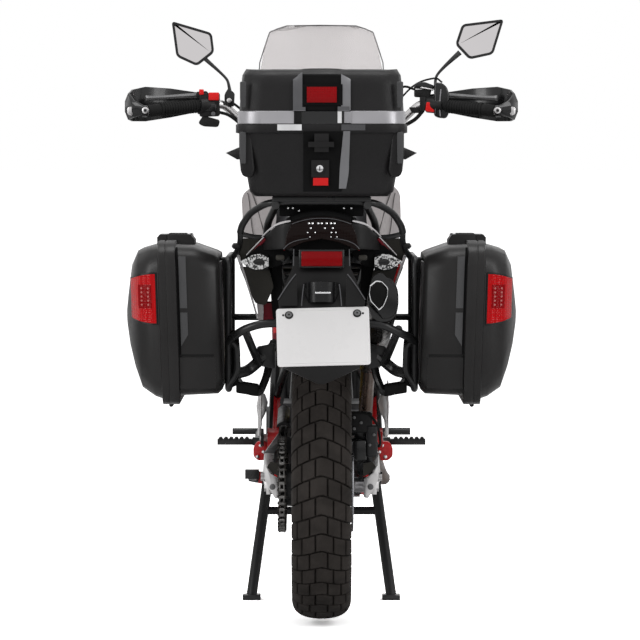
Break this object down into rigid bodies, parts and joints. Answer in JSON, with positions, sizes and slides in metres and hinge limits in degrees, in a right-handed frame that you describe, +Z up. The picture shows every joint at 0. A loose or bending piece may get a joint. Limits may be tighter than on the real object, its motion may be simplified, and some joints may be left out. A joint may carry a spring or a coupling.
{
  "type": "adventure motorcycle",
  "caption": "Adventure motorcycle on its centre stand, with wire wheels, hard top and side cases, windscreen, hand guards and steering that turns.",
  "frame": {"origin": "middle of the bounding box on the floor, between the wheels", "axes": "+Y forward, +X to the rider's right, +Z up"},
  "size_m": [0.9938, 2.159, 1.437],
  "materials": {
    "red_paint": "gloss",
    "bare_alloy": "satin",
    "engine_alloy": "satin",
    "header_steel": "satin",
    "tank_plastic": "gloss",
    "white_plastic": "gloss",
    "seat_vinyl": "matte",
    "black_plastic": "satin",
    "lamp_smoke": "gloss",
    "plate_white": "gloss",
    "lamp_clear": "gloss",
    "black_steel": "satin",
    "case_plastic": "satin",
    "spring_steel": "gloss",
    "chain_steel": "satin",
    "clear_screen": "gloss",
    "lamp_glass": "gloss",
    "chrome": "polished",
    "rubber": "matte",
    "tyre": "matte",
    "disc_steel": "satin"
  },
  "bodies": {
    "chassis": {"frame": "red_paint", "swingarm": "bare_alloy", "engine": "engine_alloy", "exhaust": "header_steel", "fuel_tank": "tank_plastic", "body_panels": "white_plastic", "seat": "seat_vinyl", "tail_fairing": "black_plastic", "tail_light": "lamp_smoke", "rear_mudguard": "black_plastic", "number_plate": "plate_white", "indicators": "lamp_clear", "luggage_racks": "black_steel", "top_case_base": "case_plastic", "left_case_base": "case_plastic", "right_case_base": "case_plastic", "rear_shock": "spring_steel", "chain": "chain_steel", "radiator": "black_steel", "skid_plate": "bare_alloy", "foot_controls": "black_steel", "heel_plates": "bare_alloy", "front_fairing": "black_plastic", "headlight": "lamp_glass", "windscreen": "clear_screen"},
    "steering": {"fork_sliders": "black_steel", "fork_stanchions": "chrome", "yokes": "engine_alloy", "handlebar": "bare_alloy", "grips": "rubber", "hand_guards": "black_plastic", "hand_controls": "black_steel", "mirrors": "black_plastic", "front_fender": "black_plastic"},
    "front_wheel": {"front_tyre": "tyre", "front_rim": "black_steel", "front_disc": "disc_steel"},
    "rear_wheel": {"rear_tyre": "tyre", "rear_rim": "black_steel", "rear_disc": "disc_steel", "rear_sprocket": "disc_steel"},
    "centre_stand": {"centre_stand": "black_steel"},
    "side_stand": {"side_stand": "black_steel"},
    "top_lid": {"top_case_lid": "case_plastic"},
    "left_lid": {"left_case_lid": "case_plastic"},
    "right_lid": {"right_case_lid": "case_plastic"}
  },
  "joints": [
    {"name": "steering_turn", "type": "hinge", "parent": "chassis", "child": "steering", "pos_m": [0, 0.41854, 0.90697], "axis": [0, -0.4384, 0.8988], "range_deg": [-35, 35]},
    {"name": "front_wheel_spin", "type": "hinge", "parent": "steering", "child": "front_wheel", "pos_m": [0, 0.7505, 0.329], "axis": [-1, 0, 0], "continuous": true},
    {"name": "rear_wheel_spin", "type": "hinge", "parent": "chassis", "child": "rear_wheel", "pos_m": [0, -0.6795, 0.326], "axis": [-1, 0, 0], "continuous": true},
    {"name": "centre_stand_fold", "type": "hinge", "parent": "chassis", "child": "centre_stand", "pos_m": [0, -0.1795, 0.29], "axis": [-1, 0, 0], "range_deg": [0, 88]},
    {"name": "side_stand_swing", "type": "hinge", "parent": "chassis", "child": "side_stand", "pos_m": [-0.158, 0.0205, 0.29], "axis": [0.9624, 0.1921, -0.1921], "range_deg": [0, 100]},
    {"name": "top_lid_open", "type": "hinge", "parent": "chassis", "child": "top_lid", "pos_m": [0, -0.6725, 1.163], "axis": [-1, 0, 0], "range_deg": [0, 85]},
    {"name": "left_lid_open", "type": "hinge", "parent": "chassis", "child": "left_lid", "pos_m": [-0.34615, -0.7095, 0.522], "axis": [0, -1, 0], "range_deg": [0, 80]},
    {"name": "right_lid_open", "type": "hinge", "parent": "chassis", "child": "right_lid", "pos_m": [0.34615, -0.7095, 0.522], "axis": [0, 1, 0], "range_deg": [0, 80]}
  ]
}
